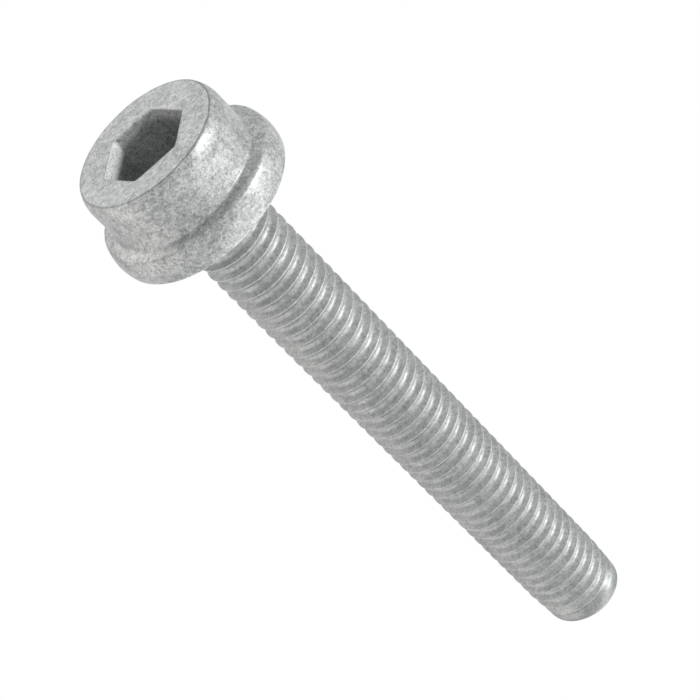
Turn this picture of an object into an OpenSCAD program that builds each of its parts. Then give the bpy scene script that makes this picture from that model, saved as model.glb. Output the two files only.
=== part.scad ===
// Hex socket cap screw with a collar under its head, threaded right up to the head.
// It stands on its head: the head's end face lies on z = 0 and the thread points up.

/* [Thread] */
// Pitch of the right-hand thread
pitch = 1; // [0.75:0.05:1.25]
// Diameter over the crests of the thread
crest_d = 5.82; // [5.6:0.02:6.1]
// Radial depth of the thread from crest to root
thread_depth = 0.49; // [0.4:0.01:0.65]
// Length from the bearing face to the start of the thread
neck_h = 0.3; // [0.2:0.01:1.5]
// Diameter of the plain neck there
neck_d = 5.38; // [5.2:0.02:5.5]
// Length from the bearing face to the tip
length = 44.3; // [20:0.1:60]

/* [Tip] */
// Diameter of the flat at the tip
tip_d = 4.84; // [4:0.02:5]
// Diameter at which the thread runs out into the tip
nose_d = 5.44; // [5.2:0.02:5.6]
// Length of the tip's chamfer
tip_chamfer = 0.34; // [0.2:0.02:0.8]
// Length over which the last crests get lower
lead_h = 3.2; // [1.5:0.1:5]
// How much lower the crests are at the tip, on the radius
lead_drop = 0.19; // [0.1:0.01:0.22]

/* [Head] */
// Diameter of the head
head_d = 10.36; // [9.8:0.02:10.6]
// Height from the head's end face to the bearing face
head_h = 6; // [5.5:0.1:7.5]
// How far the rim of the end face lies inside the head's side
rim_inset = 0.23; // [0.1:0.01:0.4]
// Height over which the side swells out from the rim
shoulder_h = 1.05; // [0.5:0.05:1.4]
// Bevel on the rim
rim_bevel = 0.06; // [0.03:0.01:0.15]

/* [Collar] */
// Largest diameter of the collar
collar_d = 12.6; // [12.5:0.05:13.4]
// Thickness of the collar, from the ledge's edge to the bearing face
collar_h = 2.21; // [1.8:0.01:2.6]
// How far the ledge's edge lies inside the largest diameter
edge_inset = 0.36; // [0.3:0.01:0.42]
// How much the ledge falls away towards its edge
ledge_fall = 0.16; // [0.02:0.01:0.2]
// Radius of the hollow between the head's side and the ledge
ledge_fillet = 0.22; // [0.2:0.01:0.7]
// How far the side flares out just above that hollow
flare_out = 0.07; // [0.02:0.01:0.12]
// Length of the flare along the side
flare_h = 0.65; // [0.2:0.05:0.8]
// Bevel between the ledge's edge and the barrel of the collar
ledge_bevel = 0.09; // [0.05:0.01:0.2]
// Radius of the barrel, seen from the side
barrel_r = 3; // [2.4:0.1:6]
// Distance from the bearing face to the largest diameter
widest_h = 1.08; // [0.9:0.02:1.3]
// Rounding at the edge of the bearing face
bearing_round = 0.45; // [0.2:0.05:0.6]
// Size of the cone between the bearing face and the neck
neck_cone = 0.35; // [0.2:0.05:0.5]

/* [Socket] */
// Width across the flats of the hexagon socket
socket_af = 5.1; // [4.9:0.02:5.2]
// Depth of the flats, from the end face
socket_depth = 3.4; // [2.5:0.1:3.8]
// Width across the flats at the mouth
mouth_af = 5.42; // [5.25:0.01:5.6]
// Depth of the mouth's lead-in
mouth_depth = 0.65; // [0.3:0.05:1]
// Depth of the cone at the bottom of the socket
cone_depth = 0.9; // [0.4:0.1:1.2]
// Diameter of the flat at the cone's point
cone_tip_d = 0.6; // [0.2:0.1:1]
// Turn of the hexagon about the screw's axis
socket_turn = 6.3; // [0:0.1:60]

/* [Hidden] */
zinc_grey = [0.70, 0.71, 0.71];
arc_steps = 6;            // straight pieces in one arc of the head's outline
turn_steps = 24;          // sides of one turn of the thread
fade_steps = 18;          // sides over which the thread rises from a plain end
root_share = 0.3;         // shares of the pitch: root, one flank, crest
flank_share = 0.281;
crest_share = 0.138;
sunk = 0.1;               // how far joined shapes run into each other
over = 0.5;               // how far a cut runs past a face
clear = 0.02;             // how far a cone's base stays inside the flats

crest_r = crest_d / 2;
root_r = crest_r - thread_depth;
neck_r = neck_d / 2;
nose_r = nose_d / 2;
tip_r = tip_d / 2;
head_r = head_d / 2;
rim_r = head_r - rim_inset;
collar_r = collar_d / 2;
tip_z = head_h + length;
chamfer_z = tip_z - tip_chamfer;
thread_z = head_h + neck_h;
buried_z = socket_depth + (head_h - socket_depth) * 0.7;
ledge_z = head_h - collar_h;
widest_z = head_h - widest_h;
swell_r = (shoulder_h * shoulder_h + rim_inset * rim_inset) / (2 * rim_inset);
flare_r = head_r + flare_out;
hollow_r = min(ledge_fillet, collar_r - edge_inset - flare_r - clear);

// Heights of the profile's corners in one pitch: root start, root end, crest start, crest end
share = [0, root_share, root_share + flank_share, root_share + flank_share + crest_share];
steps = floor(turn_steps * ((chamfer_z - thread_z) / pitch - 1));
last = steps + turn_steps;

function thread_z_at(i, corner) = thread_z + pitch * (i / turn_steps + share[corner]);

// Crest radius at a height: the crests get lower towards the tip
function crest_at(z) = crest_r - lead_drop * max(0, 1 - (tip_z - z) / lead_h);

// How far the thread has risen at step i, from 0 at a plain end to 1 in full
function rise(i, corner) =
    max(0, min(1, (corner == 0 ? i - turn_steps : i) / fade_steps, (steps - i) / fade_steps));

function thread_r_at(i, corner) =
    let (full = corner < 2 ? root_r : crest_at(thread_z_at(i, corner)))
    let (plain = i < steps / 2 ? neck_r : nose_r)
    plain + rise(i, corner) * (full - plain);

function around(r, z, k) = [r * cos(360 * k / turn_steps), r * sin(360 * k / turn_steps), z];

function ring(r, z) = [for (k = [0 : turn_steps - 1]) around(r, z, k)];

// Threaded shank: one helical strip of root, flank, crest and flank, closed by a plain
// stretch at each end. Row i holds the four corners of the profile at step i, and its
// upper edge is the first corner of the row one turn later.
module threaded_shank() {
    tail = 4 * (steps + 1);          // first corners only, from row steps + 1 to row last
    low = tail + turn_steps;         // ring buried in the head
    high = low + turn_steps;         // ring where the tip's chamfer starts
    end = high + turn_steps;         // ring round the flat at the tip
    start = steps % turn_steps;      // side of the ring on which the strip ends
    function at(i, corner) =
        corner == 4 ? at(i + turn_steps, 0) : i > steps ? tail + i - steps - 1 : 4 * i + corner;
    function side(base, k) = base + (k % turn_steps);
    points = concat(
        [for (i = [0 : steps]) for (corner = [0 : 3]) around(thread_r_at(i, corner), thread_z_at(i, corner), i)],
        [for (i = [steps + 1 : last]) around(nose_r, thread_z_at(i, 0), i)],
        ring(neck_r, buried_z),
        ring(nose_r, chamfer_z),
        ring(tip_r, tip_z)
    );
    strip = [
        for (i = [0 : steps - 1]) for (corner = [0 : 3])
            [at(i, corner), at(i, corner + 1), at(i + 1, corner + 1), at(i + 1, corner)]
    ];
    neck = [
        for (k = [0 : turn_steps - 2]) [side(low, k), at(k, 0), at(k + 1, 0), side(low, k + 1)]
    ];
    neck_seam = [[
        at(turn_steps - 1, 0), at(turn_steps, 0), at(0, 3), at(0, 2), at(0, 1), at(0, 0),
        side(low, 0), side(low, turn_steps - 1)
    ]];
    nose = [
        for (k = [1 : turn_steps - 1])
            [at(steps + k, 0), side(high, start + k), side(high, start + k + 1), at(steps + k + 1, 0)]
    ];
    nose_seam = [[
        at(steps + 1, 0), at(steps, 0), at(steps, 1), at(steps, 2), at(steps, 3), at(steps, 4),
        side(high, start), side(high, start + 1)
    ]];
    chamfer = [
        for (k = [0 : turn_steps - 1]) [side(high, k), side(end, k), side(end, k + 1), side(high, k + 1)]
    ];
    caps = [
        [for (k = [0 : turn_steps - 1]) low + k],
        [for (k = [turn_steps - 1 : -1 : 0]) end + k]
    ];
    polyhedron(points, concat(strip, neck, neck_seam, nose, nose_seam, chamfer, caps), convexity = 10);
}

// Points on an arc about centre c, from angle a to angle b
function arc(c, r, a, b) =
    [for (k = [0 : arc_steps]) let (t = a + (b - a) * k / arc_steps) c + r * [cos(t), sin(t)]];

// Head and collar, turned about the screw's axis
module head_body() {
    swell_start = asin((shoulder_h - rim_bevel) / swell_r);
    barrel = [collar_r - barrel_r, widest_z];
    round_z = head_h - bearing_round;
    round_x = barrel[0] + sqrt(pow(barrel_r - bearing_round, 2) - pow(round_z - widest_z, 2));
    barrel_start = asin((widest_z - ledge_z - ledge_bevel) / barrel_r);
    barrel_end = atan2(round_z - widest_z, round_x - barrel[0]);
    hollow = [flare_r + hollow_r, ledge_z - ledge_fall - hollow_r];
    flare_z = max(shoulder_h + clear, hollow[1] - flare_h);
    outline = concat(
        [[0, 0], [rim_r - rim_bevel, 0]],
        arc([head_r - swell_r, shoulder_h], swell_r, -swell_start, 0),
        [[head_r, flare_z]],
        arc(hollow, hollow_r, 180, 90),
        [[collar_r - edge_inset, ledge_z]],
        arc(barrel, barrel_r, -barrel_start, barrel_end),
        arc([round_x, round_z], bearing_round, barrel_end + 5, 90),
        [[neck_r + neck_cone, head_h]],
        [[neck_r - sunk, head_h + neck_cone + sunk], [0, head_h + neck_cone + sunk]]
    );
    rotate_extrude($fn = 48) polygon(outline);
}

// Hexagon socket: a wider mouth, straight flats and a shallow cone at the bottom
module socket() {
    flare = (mouth_af - socket_af) / mouth_depth;
    rotate([0, 0, socket_turn])
        translate([0, 0, -over]) {
            cylinder(r = socket_af / sqrt(3), h = socket_depth + over, $fn = 6);
            cylinder(
                r1 = (mouth_af + flare * over) / sqrt(3), r2 = socket_af / sqrt(3),
                h = mouth_depth + over, $fn = 6
            );
        }
    translate([0, 0, socket_depth - clear])
        cylinder(r1 = socket_af / 2 - clear, r2 = cone_tip_d / 2, h = cone_depth + clear, $fn = 48);
}

module screw() {
    color(zinc_grey)
        difference() {
            union() {
                head_body();
                threaded_shank();
            }
            socket();
        }
}

screw();
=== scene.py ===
import math

import bpy
import numpy as np
from mathutils import Matrix


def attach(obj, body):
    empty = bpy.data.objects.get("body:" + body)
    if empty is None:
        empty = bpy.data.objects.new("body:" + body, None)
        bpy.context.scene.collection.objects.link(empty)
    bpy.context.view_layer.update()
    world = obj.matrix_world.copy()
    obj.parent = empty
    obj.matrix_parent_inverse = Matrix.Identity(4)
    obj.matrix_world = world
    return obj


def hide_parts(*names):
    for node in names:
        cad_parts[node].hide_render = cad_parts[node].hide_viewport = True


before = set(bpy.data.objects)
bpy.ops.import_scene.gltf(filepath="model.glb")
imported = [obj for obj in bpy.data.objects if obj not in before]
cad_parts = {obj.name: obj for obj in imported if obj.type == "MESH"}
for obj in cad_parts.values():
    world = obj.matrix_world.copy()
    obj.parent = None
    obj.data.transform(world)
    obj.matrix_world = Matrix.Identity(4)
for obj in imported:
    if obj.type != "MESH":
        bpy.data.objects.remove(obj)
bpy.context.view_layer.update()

# Screw: headed cold from steel wire, with its collar in one piece with the head, its hexagon
# punched, and its M6 thread rolled right up to the collar.
# Sizes are in millimetres. Columns run round the axis, rows from the socket's bottom to the tip.
COLUMNS = 108
PITCH = 1.0
CREST_R = 2.91
NECK_R = 2.69
TIP_R = 2.42
LENGTH = 44.3
HEAD_H = 6.0
HEAD_R = 5.18
RIM_INSET = 0.3
SHOULDER_H = 1.05
COLLAR_R = 6.29
LEDGE_Z = 3.79
LEDGE_R = 5.94
FLARE_H = 0.65
FLARE_OUT = 0.07
HOLLOW_R = 0.22
LEDGE_FALL = 0.16
BARREL_R = 3.0
WIDEST_Z = 4.92
BEARING_ROUND = 0.45
NECK_CONE = 0.35
SOCKET_IN_R = 2.55
MOUTH_IN_R = 2.71
MOUTH_DEPTH = 0.65
SOCKET_DEPTH = 3.4
CONE_DEPTH = 0.9
SOCKET_TURN = math.radians(6.3)
SOCKET_OFF = (0.1, -0.08)
SOCKET_FILLET = 0.08
CORNER_CUT = 0.012
COLUMN_GATHER = 0.6
POLE_R = 0.06
POLE_RISE = 0.02
LIP_W = 0.045
RIM_ROUND = 0.06
SWELL_CUT = 0.05
LEDGE_BEVEL = 0.08
MM = 0.001

TIP_Z = HEAD_H + LENGTH
columns = np.arange(COLUMNS)
column_angle = SOCKET_TURN + 2 * math.pi * columns / COLUMNS


def arc(centre, radius, start, end, count):
    """Points on a circle about centre, evenly spaced from angle start to end in degrees."""
    t = np.radians(np.linspace(start, end, count))
    return np.stack([centre[0] + radius * np.cos(t), centre[1] + radius * np.sin(t)], 1)


def line(start, end, count):
    """Points on a straight line from start to end, the start left out."""
    t = np.linspace(0, 1, count + 1)[1:, None]
    return np.array(start) * (1 - t) + np.array(end) * t


def socket_rows():
    """Rows from the socket's bottom to the end face: inner radius, height and hexagon share.
    The cone's base is round, the wall is a hexagon, and the end face turns round again."""
    wall_foot = SOCKET_DEPTH - SOCKET_FILLET
    cone = line((POLE_R, SOCKET_DEPTH + CONE_DEPTH), (SOCKET_IN_R - 0.35, SOCKET_DEPTH + 0.12), 5)
    foot = np.array([
        (SOCKET_IN_R - 0.2, SOCKET_DEPTH + 0.06),
        (SOCKET_IN_R - 0.08, SOCKET_DEPTH + 0.02),
        (SOCKET_IN_R - 0.02, SOCKET_DEPTH - 0.03),
    ])
    wall = line((SOCKET_IN_R, wall_foot), (SOCKET_IN_R, MOUTH_DEPTH + 0.04), 8)
    lead = line((SOCKET_IN_R + 0.01, MOUTH_DEPTH - 0.02), (MOUTH_IN_R - 0.03, 0.09), 5)
    lip = np.array([(MOUTH_IN_R - 0.015, 0.05), (MOUTH_IN_R + 0.01, 0.02), (MOUTH_IN_R + LIP_W, 0.0)])
    face = line((MOUTH_IN_R + LIP_W, 0.0), (HEAD_R - RIM_INSET - 0.09, 0.0), 9)
    parts = [cone, foot, wall, lead, lip, face]
    shares = [
        np.zeros(len(cone)),
        np.array([0.35, 0.75, 1.0]),
        np.ones(len(wall)),
        np.ones(len(lead)),
        np.ones(len(lip)),
        np.clip(np.linspace(0.8, -0.5, len(face)), 0, 1),
    ]
    return np.concatenate(parts), np.concatenate(shares)


def head_rows():
    """Turned outline from the rim to the neck: swell, side, hollow, ledge, barrel, bearing face."""
    rim_r = HEAD_R - RIM_INSET
    swell_r = (SHOULDER_H ** 2 + RIM_INSET ** 2) / (2 * RIM_INSET)
    swell_start = -math.degrees(math.asin((SHOULDER_H - SWELL_CUT) / swell_r))
    hollow = (HEAD_R + FLARE_OUT + HOLLOW_R, LEDGE_Z - LEDGE_FALL - HOLLOW_R)
    up_flare = np.linspace(0, 1, 7)[:, None]
    flare = np.hstack([HEAD_R + FLARE_OUT * up_flare ** 2, hollow[1] - FLARE_H * (1 - up_flare)])
    barrel = (COLLAR_R - BARREL_R, WIDEST_Z)
    round_z = HEAD_H - BEARING_ROUND
    round_x = barrel[0] + math.sqrt((BARREL_R - BEARING_ROUND) ** 2 - (round_z - WIDEST_Z) ** 2)
    barrel_start = -math.degrees(math.asin((WIDEST_Z - LEDGE_Z - LEDGE_BEVEL) / BARREL_R))
    barrel_end = math.degrees(math.atan2(round_z - WIDEST_Z, round_x - barrel[0]))
    return np.concatenate([
        np.array([(rim_r - RIM_ROUND, 0.0), (rim_r - 0.035, 0.006), (rim_r - 0.015, 0.022)]),
        arc((HEAD_R - swell_r, SHOULDER_H), swell_r, swell_start, 0, 12),
        line((HEAD_R, SHOULDER_H), flare[0] - (0, 0.1), 4),
        flare,
        arc(hollow, HOLLOW_R, 168, 100, 6),
        line((hollow[0], LEDGE_Z - LEDGE_FALL), (LEDGE_R - 0.02, LEDGE_Z - 0.008), 4),
        np.array([(LEDGE_R, LEDGE_Z), (LEDGE_R + 0.03, LEDGE_Z + 0.02)]),
        arc(barrel, BARREL_R, barrel_start, barrel_end, 14),
        arc((round_x, round_z), BEARING_ROUND, barrel_end + 8, 90, 9),
        line((round_x, HEAD_H), (NECK_R + NECK_CONE, HEAD_H), 5),
        line((NECK_R + NECK_CONE, HEAD_H), (NECK_R, HEAD_H + NECK_CONE), 4),
    ])


def rings(outline, hexagon):
    """Carries an outline of radius and height round the axis. The hexagon share swells a ring
    towards its six corners, which are a little rounded, and gathers the columns there. It also
    moves the ring off the axis, because the hexagon is punched a little off it."""
    share = hexagon[:, None]
    warp = COLUMN_GATHER * share * np.sin(6 * (column_angle - SOCKET_TURN)) / 6
    angle = column_angle - warp
    from_flat = np.mod(angle - SOCKET_TURN, math.pi / 3) - math.pi / 6
    corner = 1 / math.cos(math.pi / 6) - CORNER_CUT
    flat = 1 / np.cos(from_flat)
    swell = (flat ** -50 + corner ** -50) ** (-1 / 50)
    radius = outline[:, :1] * (1 + share * (swell - 1))
    height = np.broadcast_to(outline[:, 1:], radius.shape)
    across = radius * np.cos(angle) + share * SOCKET_OFF[0]
    along = radius * np.sin(angle) + share * SOCKET_OFF[1]
    return np.stack([across, along, height], -1)


# Rolled thread: one strip wound up the shank. Each turn has the same rows, from one root to
# the next, and the strip's upper edge is its own lower edge one turn on. The grooves rise out
# of a plain neck and run out again before the tip, where the blank's chamfer narrows them.
CREST_ROUND = 0.075
ROOT_ROUND = 0.35
FLANK_SLOPE = 1 / math.tan(math.radians(30))
CREST_PLACES = [0.43, 0.455, 0.48, 0.5, 0.52, 0.545, 0.57]
ROW_PLACES = np.array([0, 0.07, 0.14, 0.21, 0.285, *CREST_PLACES, 0.715, 0.79, 0.86, 0.93])
FADE = 84
THREAD_Z = 6.41 + SOCKET_TURN / (2 * math.pi)
CHAMFER_SLOPE = 0.9
CHAMFER_OFF = 0.15
LEAD_H = 3.2
LEAD_DROP = 0.19
NOSE_H = 0.62
NOSE_ROUND = 0.08
steps = int(COLUMNS * (TIP_Z - NOSE_H - THREAD_Z - PITCH))


def smooth_min(a, b, width):
    """The smaller of two values, with the corner where they cross rounded over width."""
    gap = np.clip(0.5 + 0.5 * (b - a) / width, 0, 1)
    return b * (1 - gap) + a * gap - width * gap * (1 - gap)


def tip_edge(angle):
    """Radius of the tip's flat by direction, because its chamfer is cut a little off the axis."""
    return TIP_R - CHAMFER_OFF * np.cos(angle)


def envelope(z, angle):
    """Radius over the crests: level along the shank, lower near the tip, then a chamfer."""
    left = TIP_Z - z
    crest = CREST_R - LEAD_DROP * np.clip(1 - left / LEAD_H, 0, 1)
    return smooth_min(crest, tip_edge(angle) + left * CHAMFER_SLOPE, NOSE_ROUND)


def groove(place):
    """Depth of the rolled groove at a share of the pitch, the crest in the middle at 0.5: flanks
    at 30 degrees, each touching the circle of the crest and the circle of the root."""
    off_crest = np.abs(place - 0.5) * PITCH
    off_root = PITCH / 2 - off_crest
    flank = off_crest * FLANK_SLOPE - CREST_ROUND
    deepest = PITCH / 2 * FLANK_SLOPE - CREST_ROUND - ROOT_ROUND
    crest = CREST_ROUND - np.sqrt(np.maximum(CREST_ROUND ** 2 - off_crest ** 2, 0))
    root = deepest - ROOT_ROUND + np.sqrt(np.maximum(ROOT_ROUND ** 2 - off_root ** 2, 0))
    touch = math.cos(math.radians(30))
    off_the_crest = np.where(off_root < ROOT_ROUND * touch, root, flank)
    return np.where(off_crest < CREST_ROUND * touch, crest, off_the_crest)


def thread_strip():
    """The strip's vertices by step and row, and the plain edge that closes its last turn."""
    step = np.arange(steps + 1)[:, None]
    z = THREAD_Z + PITCH * (step / COLUMNS + ROW_PLACES)
    first = np.where(ROW_PLACES == 0, step - COLUMNS, step) / FADE
    rise = np.clip(np.minimum(first, (steps - step) / FADE), 0, 1)
    rise = rise * rise * (3 - 2 * rise)
    angle = SOCKET_TURN + 2 * math.pi * step / COLUMNS + 0 * z
    outer = envelope(z, angle)
    plain = np.where(step < steps / 2, NECK_R, outer)
    radius = plain + (outer - plain) * rise - groove(ROW_PLACES) * rise
    strip = np.stack([radius * np.cos(angle), radius * np.sin(angle), z], -1)
    step = np.arange(steps + 1, steps + COLUMNS + 1)
    z = THREAD_Z + PITCH * step / COLUMNS
    angle = SOCKET_TURN + 2 * math.pi * step / COLUMNS
    outer = envelope(z, angle)
    return strip, np.stack([outer * np.cos(angle), outer * np.sin(angle), z], -1)


def tip_rings():
    """Rings of the tip: the envelope up to the flat's edge, then that edge shrunk to the axis."""
    left = np.array([0.6, 0.54, 0.48, 0.42, 0.36, 0.3, 0.24, 0.18, 0.12, 0.07, 0.03])[:, None]
    shrink = np.array([0.998, 0.985, 0.75, 0.5, 0.25])[:, None]
    angle = np.broadcast_to(column_angle, (len(left) + len(shrink), COLUMNS))
    edge = envelope(np.full((1, 1), TIP_Z), column_angle)
    radius = np.concatenate([envelope(TIP_Z - left, column_angle), edge * shrink])
    height = np.concatenate([TIP_Z - left, [[TIP_Z - 0.01]], np.full((len(shrink) - 1, 1), TIP_Z)])
    return np.stack([radius * np.cos(angle), radius * np.sin(angle), height + 0 * angle], -1)


def screw_mesh():
    """Joins the socket, head, neck, thread strip and tip into one closed surface."""
    inside, share = socket_rows()
    outside = head_rows()
    low = rings(np.concatenate([inside, outside]), np.concatenate([share, np.zeros(len(outside))]))
    strip, edge = thread_strip()
    high = tip_rings()
    rows = len(ROW_PLACES)
    low_id = np.arange(len(low) * COLUMNS).reshape(-1, COLUMNS)
    strip_id = low_id.size + np.arange((steps + 1) * rows).reshape(-1, rows)
    edge_id = low_id.size + strip_id.size + np.arange(COLUMNS)
    high_id = edge_id[-1] + 1 + np.arange(len(high) * COLUMNS).reshape(-1, COLUMNS)
    bottom_pole = high_id.max() + 1
    tip_pole = bottom_pole + 1

    def wall(lower, upper):
        return np.stack([lower, np.roll(lower, -1, -1), np.roll(upper, -1, -1), upper], -1).reshape(-1, 4)

    above = np.concatenate([strip_id[COLUMNS:, 0], edge_id])
    grid = np.concatenate([strip_id, above[:, None]], 1)
    turns = np.stack([grid[:-1, :-1], grid[1:, :-1], grid[1:, 1:], grid[:-1, 1:]], -1).reshape(-1, 4)
    neck = np.stack([low_id[-1][:-1], low_id[-1][1:], grid[1:COLUMNS, 0], grid[:COLUMNS - 1, 0]], -1)
    last = np.concatenate([[strip_id[-1, 0]], edge_id])
    ring = high_id[0][(steps + np.arange(COLUMNS + 1)) % COLUMNS]
    nose = np.stack([last[1:-1], last[2:], ring[2:], ring[1:-1]], -1)
    head = wall(low_id[:-1], low_id[1:])
    tip = wall(high_id[:-1], high_id[1:])
    quads = np.concatenate([head, neck, turns, nose, tip])
    neck_seam = [low_id[-1][-1], low_id[-1][0], *grid[0], grid[COLUMNS - 1, 0]]
    nose_seam = [last[0], last[1], ring[1], ring[0], *grid[-1][:0:-1]]
    fans = [(bottom_pole, low_id[0][(j + 1) % COLUMNS], low_id[0][j]) for j in range(COLUMNS)]
    fans += [(tip_pole, high_id[-1][j], high_id[-1][(j + 1) % COLUMNS]) for j in range(COLUMNS)]
    points = np.concatenate([
        low.reshape(-1, 3), strip.reshape(-1, 3), edge, high.reshape(-1, 3),
        [(0, 0, SOCKET_DEPTH + CONE_DEPTH + POLE_RISE), (0, 0, TIP_Z)],
    ])
    faces = quads.tolist() + [[int(v) for v in f] for f in (neck_seam, nose_seam, *fans)]
    mesh = bpy.data.meshes.new("screw_body")
    mesh.from_pydata((points * MM).tolist(), [], faces)
    mesh.validate()
    mesh.polygons.foreach_set("use_smooth", np.ones(len(mesh.polygons), bool))
    mesh.update()
    return mesh


# Zinc-flake coating on steel: dipped, spun and baked, so it is a matt silver grey, half metal
# and half matt, that shines softly, with a fine mottle of overlapping flakes, and small pits.
def srgb(code):
    """Turns an sRGB hex code into linear red, green, blue and alpha."""
    value = np.array([int(code[i:i + 2], 16) for i in (1, 3, 5)]) / 255
    linear = np.where(value <= 0.04045, value / 12.92, ((value + 0.055) / 1.055) ** 2.4)
    return (*linear.tolist(), 1.0)


def add_node(tree, kind, inputs=None, **settings):
    """Adds a node, sets its options, and gives each named input a value or a link."""
    made = tree.nodes.new(kind)
    for name, value in settings.items():
        setattr(made, name, value)
    for name, value in (inputs or {}).items():
        if isinstance(value, bpy.types.NodeSocket):
            tree.links.new(value, made.inputs[name])
        else:
            made.inputs[name].default_value = value
    return made


zinc_flake = bpy.data.materials.new("zinc_flake_coating")
zinc_flake.use_nodes = True
tree = zinc_flake.node_tree
tree.nodes.clear()
place = add_node(tree, "ShaderNodeTexCoord").outputs["Object"]

# Mottle: grains of the coating, single flakes that lie a little brighter or darker, patches
# where it ran thicker, and wide clouds. Real flakes are a few hundredths of a millimetre wide,
# so grains and flakes are drawn coarser, to show in the render. The shares add up to one.
GRAIN_MM = 0.11
FLAKE_MM = 0.2
PATCH_MM = 0.8
CLOUD_MM = 3.0
GRAIN_SHARE = 0.54
FLAKE_SHARE = 0.14
PATCH_SHARE = 0.22
CLOUD_SHARE = 0.10
grain = add_node(tree, "ShaderNodeTexNoise", {
    "Vector": place, "Scale": 1 / (GRAIN_MM * MM), "Detail": 2.0, "Roughness": 0.7,
}).outputs["Fac"]
flake_cell = add_node(tree, "ShaderNodeTexVoronoi", {"Vector": place, "Scale": 1 / (FLAKE_MM * MM)})
flake = add_node(tree, "ShaderNodeSeparateColor", {"Color": flake_cell.outputs["Color"]}).outputs["Red"]
patch = add_node(tree, "ShaderNodeTexNoise", {
    "Vector": place, "Scale": 1 / (PATCH_MM * MM), "Detail": 4.0, "Roughness": 0.6, "Distortion": 0.6,
}).outputs["Fac"]
cloud = add_node(tree, "ShaderNodeTexNoise", {
    "Vector": place, "Scale": 1 / (CLOUD_MM * MM), "Detail": 2.0, "Roughness": 0.5,
}).outputs["Fac"]
mottle = add_node(tree, "ShaderNodeMath", {0: grain, 1: GRAIN_SHARE}, operation="MULTIPLY").outputs[0]
for layer, layer_share in ((flake, FLAKE_SHARE), (patch, PATCH_SHARE), (cloud, CLOUD_SHARE)):
    mottle = add_node(tree, "ShaderNodeMath", {
        0: layer, 1: layer_share, 2: mottle,
    }, operation="MULTIPLY_ADD").outputs[0]
tone = add_node(tree, "ShaderNodeValToRGB", {"Fac": mottle})
tone.color_ramp.elements[0].position = 0.36
tone.color_ramp.elements[0].color = srgb("#808485")
tone.color_ramp.elements[1].position = 0.64
tone.color_ramp.elements[1].color = srgb("#d0d2d2")

# Pits: pinholes left by grit and gas under the coating, one at most in each cell of PIT_MM.
# They are about a tenth of a millimetre wide, coarser than real ones, to show in the render.
PIT_MM = 0.55
PIT_EDGE = 0.12
PIT_FLOOR = 0.04
PIT_FREE_SHARE = 0.68
pit_cell = add_node(tree, "ShaderNodeTexVoronoi", {"Vector": place, "Scale": 1 / (PIT_MM * MM)})
pit_depth = add_node(tree, "ShaderNodeMapRange", {
    "Value": pit_cell.outputs["Distance"],
    "From Min": PIT_EDGE, "From Max": PIT_FLOOR, "To Min": 0.0, "To Max": 1.0,
}, interpolation_type="SMOOTHSTEP").outputs[0]
pit_here = add_node(tree, "ShaderNodeSeparateColor", {"Color": pit_cell.outputs["Color"]}).outputs["Green"]
pit_here = add_node(tree, "ShaderNodeMath", {
    0: pit_here, 1: PIT_FREE_SHARE,
}, operation="GREATER_THAN").outputs[0]
pit = add_node(tree, "ShaderNodeMath", {0: pit_depth, 1: pit_here}, operation="MULTIPLY").outputs[0]

# Distances that place the marks and the painted light and shade: up from the end face, and out from the
# screw's axis.
axes = add_node(tree, "ShaderNodeSeparateXYZ", {"Vector": place}).outputs
level = add_node(tree, "ShaderNodeVectorMath", {
    0: place, 1: (1.0, 1.0, 0.0),
}, operation="MULTIPLY").outputs[0]
from_axis = add_node(tree, "ShaderNodeVectorMath", {0: level}, operation="LENGTH").outputs["Value"]

# Sharp rim of the end face: a thin broken darker line runs along it.
RIM_LINE_R = HEAD_R - RIM_INSET - 0.02
RIM_LINE_W = 0.07
RIM_CORE_W = 0.03
RIM_LINE_H = 0.06
off_rim = add_node(tree, "ShaderNodeMath", {
    0: from_axis, 1: RIM_LINE_R * MM,
}, operation="SUBTRACT").outputs[0]
off_rim = add_node(tree, "ShaderNodeMath", {0: off_rim}, operation="ABSOLUTE").outputs[0]
rim = add_node(tree, "ShaderNodeMapRange", {
    "Value": off_rim, "From Min": RIM_LINE_W * MM, "From Max": RIM_CORE_W * MM, "To Min": 0.0, "To Max": 1.0,
}).outputs[0]
low = add_node(tree, "ShaderNodeMath", {0: axes["Z"], 1: RIM_LINE_H * MM}, operation="LESS_THAN").outputs[0]
rim = add_node(tree, "ShaderNodeMath", {0: rim, 1: low}, operation="MULTIPLY").outputs[0]
rim = add_node(tree, "ShaderNodeMath", {0: rim, 1: patch}, operation="MULTIPLY").outputs[0]
dark = add_node(tree, "ShaderNodeMath", {0: rim, 1: pit}, operation="MAXIMUM").outputs[0]

# Tip: darker towards its end, painted shade that damps the highlight on its chamfer.
TIP_SHADE_H = 1.2
TIP_SHADE_FULL_H = 0.4
TIP_SHADE = 0.5
tip = add_node(tree, "ShaderNodeMapRange", {
    "Value": axes["Z"], "From Min": (TIP_Z - TIP_SHADE_H) * MM, "From Max": (TIP_Z - TIP_SHADE_FULL_H) * MM,
    "To Min": 0.0, "To Max": TIP_SHADE,
}).outputs[0]
# Dark marks, and the painted shade towards the tip, taken together.
dark_marks_and_tip_shade = add_node(tree, "ShaderNodeMath", {0: dark, 1: tip}, operation="MAXIMUM").outputs[0]

# Crests of the thread: a little brighter than its grooves, partly wear and partly a painted highlight along
# them.
SHANK_Z = HEAD_H + 0.3
CREST_SHEEN_H = 0.05
CREST_WEAR_AND_SHEEN = 0.1
crest = add_node(tree, "ShaderNodeMapRange", {
    "Value": from_axis, "From Min": (CREST_R - CREST_SHEEN_H) * MM, "From Max": CREST_R * MM,
    "To Min": 0.0, "To Max": CREST_WEAR_AND_SHEEN,
}).outputs[0]
shank = add_node(tree, "ShaderNodeMath", {0: axes["Z"], 1: SHANK_Z * MM}, operation="GREATER_THAN").outputs[0]
# Crest brightening, partly wear and partly painted highlight, kept to the shank.
crest = add_node(tree, "ShaderNodeMath", {0: crest, 1: shank}, operation="MULTIPLY").outputs[0]
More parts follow.
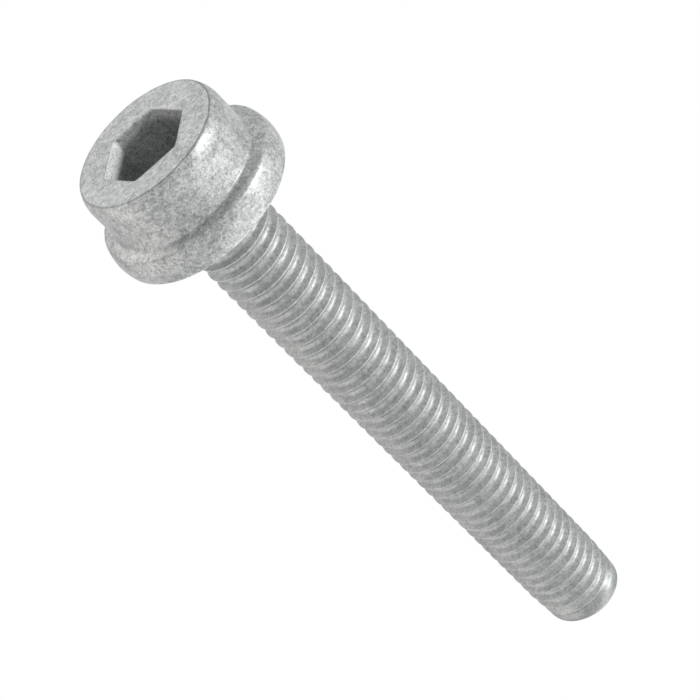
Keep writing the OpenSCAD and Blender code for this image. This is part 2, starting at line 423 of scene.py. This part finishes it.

# Socket's mouth: painted light, a pale speckled patch on the flat that faces the key lamp. It fades out down
# the wall, where the lamp's light would fall into shadow. The other flats keep only a trace of it.
LAMP_FACING_FLAT = (math.cos(SOCKET_TURN + math.pi / 6), math.sin(SOCKET_TURN + math.pi / 6), 0.0)
PAINTED_LIGHT_FULL_DEPTH = 0.75
PAINTED_LIGHT_END_DEPTH = 1.1
PAINTED_LIGHT_START_DEPTH = 0.03
PAINTED_LIGHT_MAX_R = 3.2
FLAT_EDGE = 2.45
FLAT_FULL = 2.55
OTHER_FLATS = 0.03
# Mask of the painted light in the socket: full down to one depth, fading out below it.
painted_light_patch = add_node(tree, "ShaderNodeMapRange", {
    "Value": axes["Z"],
    "From Min": PAINTED_LIGHT_END_DEPTH * MM, "From Max": PAINTED_LIGHT_FULL_DEPTH * MM, "To Min": 0.0, "To Max": 1.0,
}).outputs[0]
below = add_node(tree, "ShaderNodeMath", {
    0: axes["Z"], 1: PAINTED_LIGHT_START_DEPTH * MM,
}, operation="GREATER_THAN").outputs[0]
inside = add_node(tree, "ShaderNodeMath", {
    0: from_axis, 1: PAINTED_LIGHT_MAX_R * MM,
}, operation="LESS_THAN").outputs[0]
to_flat = add_node(tree, "ShaderNodeVectorMath", {0: place, 1: LAMP_FACING_FLAT}, operation="DOT_PRODUCT")
on_flat = add_node(tree, "ShaderNodeMapRange", {
    "Value": to_flat.outputs["Value"],
    "From Min": FLAT_EDGE * MM, "From Max": FLAT_FULL * MM, "To Min": OTHER_FLATS, "To Max": 1.0,
}).outputs[0]
for limit in (on_flat, below, inside):
    painted_light_patch = add_node(tree, "ShaderNodeMath", {0: painted_light_patch, 1: limit}, operation="MULTIPLY").outputs[0]
speckle = add_node(tree, "ShaderNodeMapRange", {
    "Value": grain, "From Min": 0.36, "From Max": 0.48, "To Min": 0.2, "To Max": 1.0,
}).outputs[0]
# Painted light on the socket's flat, speckled by the grain.
speckled_painted_light = add_node(tree, "ShaderNodeMath", {0: painted_light_patch, 1: speckle}, operation="MULTIPLY").outputs[0]
# Painted highlights taken together: the crests' brightening, partly wear, and the socket's painted light.
painted_light_and_crest_wear = add_node(tree, "ShaderNodeMath", {0: crest, 1: speckled_painted_light}, operation="MAXIMUM").outputs[0]

# Thread: rolling pressed the steel smooth before it was coated, so the mottle is fainter there.
THREAD_CALM = 0.36
calm = add_node(tree, "ShaderNodeMath", {0: shank, 1: THREAD_CALM}, operation="MULTIPLY").outputs[0]
colour = add_node(tree, "ShaderNodeMix", {
    0: calm, 6: tone.outputs["Color"], 7: srgb("#a2a5a5"),
}, data_type="RGBA").outputs[2]

# Finish: over the mottle, painted highlights on the crests and on the socket's flat, with a little crest
# wear, then pits, the rim line and painted shade at the tip, then a grain that roughens the gloss and lifts
# the surface. Where the socket's painted light lies, the surface is hardly metallic.
PIT_SINK = -0.6
RELIEF_MM = 0.03
# Painted highlights and a little crest wear lift the colour towards near white.
colour = add_node(tree, "ShaderNodeMix", {
    0: painted_light_and_crest_wear, 6: colour, 7: srgb("#fafbfb"),
}, data_type="RGBA").outputs[2]
# Darkens the colour with pits, the rim line and the tip's painted shade.
colour = add_node(tree, "ShaderNodeMix", {
    0: dark_marks_and_tip_shade, 6: colour, 7: srgb("#66696b"),
}, data_type="RGBA").outputs[2]
gloss = add_node(tree, "ShaderNodeMapRange", {
    "Value": grain, "From Min": 0.3, "From Max": 0.7, "To Min": 0.38, "To Max": 0.52,
}).outputs[0]
height = add_node(tree, "ShaderNodeMath", {
    0: dark, 1: PIT_SINK, 2: mottle,
}, operation="MULTIPLY_ADD").outputs[0]
# Less metallic where the socket's painted light lies.
metallic = add_node(tree, "ShaderNodeMapRange", {
    "Value": painted_light_patch, "From Min": 0.0, "From Max": 1.0, "To Min": 0.45, "To Max": 0.05,
}).outputs[0]
relief = add_node(tree, "ShaderNodeBump", {"Strength": 0.5, "Distance": RELIEF_MM * MM, "Height": height})
metal = add_node(tree, "ShaderNodeBsdfPrincipled", {
    "Base Color": colour, "Metallic": metallic, "Roughness": gloss, "Normal": relief.outputs[0],
})
add_node(tree, "ShaderNodeOutputMaterial", {"Surface": metal.outputs[0]})

screw = bpy.data.objects.new("screw_body", screw_mesh())
bpy.context.collection.objects.link(screw)
screw.data.materials.append(zinc_flake)
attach(screw, "root")
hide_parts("screw")

# Floor: a plain pale sheet just under the head. It takes the screw's shadow near it and turns
# to plain white further out. Seen from beneath, it is clear, because the photographed side is
# the head's end face, on which the screw stands.
floor_mesh = bpy.data.meshes.new("floor")
FLOOR_HALF = 3.0
FLOOR_Z = -0.00003
WHITE_START = 0.05
WHITE_FULL = 0.22
floor_corners = [(x * FLOOR_HALF, y * FLOOR_HALF, FLOOR_Z) for x, y in ((-1, -1), (1, -1), (1, 1), (-1, 1))]
floor_mesh.from_pydata(floor_corners, [], [(0, 1, 2, 3)])
floor = bpy.data.objects.new("floor", floor_mesh)
bpy.context.collection.objects.link(floor)
floor.visible_shadow = False
floor.visible_diffuse = False
floor.visible_glossy = False
floor.visible_transmission = False

pale = bpy.data.materials.new("pale_floor")
pale.use_nodes = True
tree = pale.node_tree
tree.nodes.clear()
place = add_node(tree, "ShaderNodeTexCoord").outputs["Object"]
distance = add_node(tree, "ShaderNodeVectorMath", {0: place}, operation="LENGTH").outputs["Value"]
far = add_node(tree, "ShaderNodeMapRange", {
    "Value": distance, "From Min": WHITE_START, "From Max": WHITE_FULL, "To Min": 0.0, "To Max": 1.0,
}, interpolation_type="SMOOTHSTEP").outputs[0]
matt = add_node(tree, "ShaderNodeBsdfDiffuse", {"Color": srgb("#f6f6f6")}).outputs[0]
white = add_node(tree, "ShaderNodeEmission", {"Color": (1, 1, 1, 1), "Strength": 1.0}).outputs[0]
top = add_node(tree, "ShaderNodeMixShader", {0: far, 1: matt, 2: white}).outputs[0]
clear = add_node(tree, "ShaderNodeBsdfTransparent").outputs[0]
beneath = add_node(tree, "ShaderNodeNewGeometry").outputs["Backfacing"]
both = add_node(tree, "ShaderNodeMixShader", {0: beneath, 1: top, 2: clear}).outputs[0]
add_node(tree, "ShaderNodeOutputMaterial", {"Surface": both})
floor.data.materials.append(pale)

# Light: a white room all round, which the metal mirrors but which lights it only weakly. A small
# key lamp stands just low enough to shine into the socket's mouth, with a wide soft lamp above
# it. Two weak warm lamps stand opposite, and two more light the top and the back.
ROOM_LIGHT = 0.15
world = bpy.data.worlds.new("white_room")
bpy.context.scene.world = world
world.use_nodes = True
tree = world.node_tree
tree.nodes.clear()
rays = add_node(tree, "ShaderNodeLightPath").outputs
seen = rays["Is Camera Ray"]
for ray in ("Is Glossy Ray", "Is Transmission Ray"):
    seen = add_node(tree, "ShaderNodeMath", {0: seen, 1: rays[ray]}, operation="MAXIMUM").outputs[0]
shown = add_node(tree, "ShaderNodeBackground", {"Color": (1, 1, 1, 1), "Strength": 1.0}).outputs[0]
lighting = add_node(tree, "ShaderNodeBackground", {"Color": (1, 1, 1, 1), "Strength": ROOM_LIGHT}).outputs[0]
mixed = add_node(tree, "ShaderNodeMixShader", {0: seen, 1: lighting, 2: shown}).outputs[0]
add_node(tree, "ShaderNodeOutputWorld", {"Surface": mixed})


LAMP_DISTANCE = 0.6
LAMP_AIM = (0, 0, 0.02)


def lamp(name, azimuth, elevation, size, power, colour):
    """A round lamp aimed at the screw, from an azimuth in degrees turned from -Y towards -X."""
    data = bpy.data.lights.new(name, "AREA")
    data.shape = "DISK"
    data.size = size
    data.energy = power
    data.color = srgb(colour)[:3]
    a, e = math.radians(azimuth), math.radians(elevation)
    back = np.array([-math.sin(a) * math.cos(e), -math.cos(a) * math.cos(e), math.sin(e)])
    side = np.cross([0, 0, 1.0], back)
    side /= np.linalg.norm(side)
    up = np.cross(back, side)
    made = bpy.data.objects.new(name, data)
    bpy.context.collection.objects.link(made)
    basis = Matrix(np.stack([side, up, back], 1).tolist()).to_4x4()
    basis.translation = (back * LAMP_DISTANCE + np.array(LAMP_AIM)).tolist()
    made.matrix_world = basis


lamp("key", 57, -10, 0.12, 2.1, "#fffffd")
lamp("key_high", 38, 33, 0.65, 1.5, "#fffffd")
lamp("top", 25, 76, 0.5, 1.3, "#ffffff")
lamp("back_low", 180, -45, 0.35, 0.45, "#ffffff")
lamp("warm_side", -80, 0, 0.8, 1.75, "#fffaf4")
lamp("warm_low", -140, -45, 0.35, 0.7, "#fffaf4")

# Camera: looks up at the head's end face from beneath, rolled so that the screw runs from the
# upper left to the lower right. Its focal length is in picture widths times the sensor's width.
UP_TILT = math.radians(35)
ROLL = math.radians(45.48)
SENSOR_MM = 36
FOCAL_SHARE = 2475 / 700
AIM_MM = (-0.1, 0, 21.12)
CAMERA_MM = 158.47
camera = bpy.data.objects.new("camera", bpy.data.cameras.new("camera"))
bpy.context.collection.objects.link(camera)
bpy.context.scene.camera = camera
camera.data.lens = SENSOR_MM * FOCAL_SHARE
camera.data.clip_start = 0.005
look = np.array([0, math.cos(UP_TILT), math.sin(UP_TILT)])
across = np.array([1.0, 0, 0])
along = np.array([0, -math.sin(UP_TILT), math.cos(UP_TILT)])
right = -math.sin(ROLL) * across + math.cos(ROLL) * along
up = -math.cos(ROLL) * across - math.sin(ROLL) * along
basis = Matrix(np.stack([right, up, -look], 1).tolist()).to_4x4()
basis.translation = (np.array(AIM_MM) * MM - look * CAMERA_MM * MM).tolist()
camera.matrix_world = basis

bpy.context.scene.view_settings.view_transform = "Standard"

bpy.context.view_layer.update()
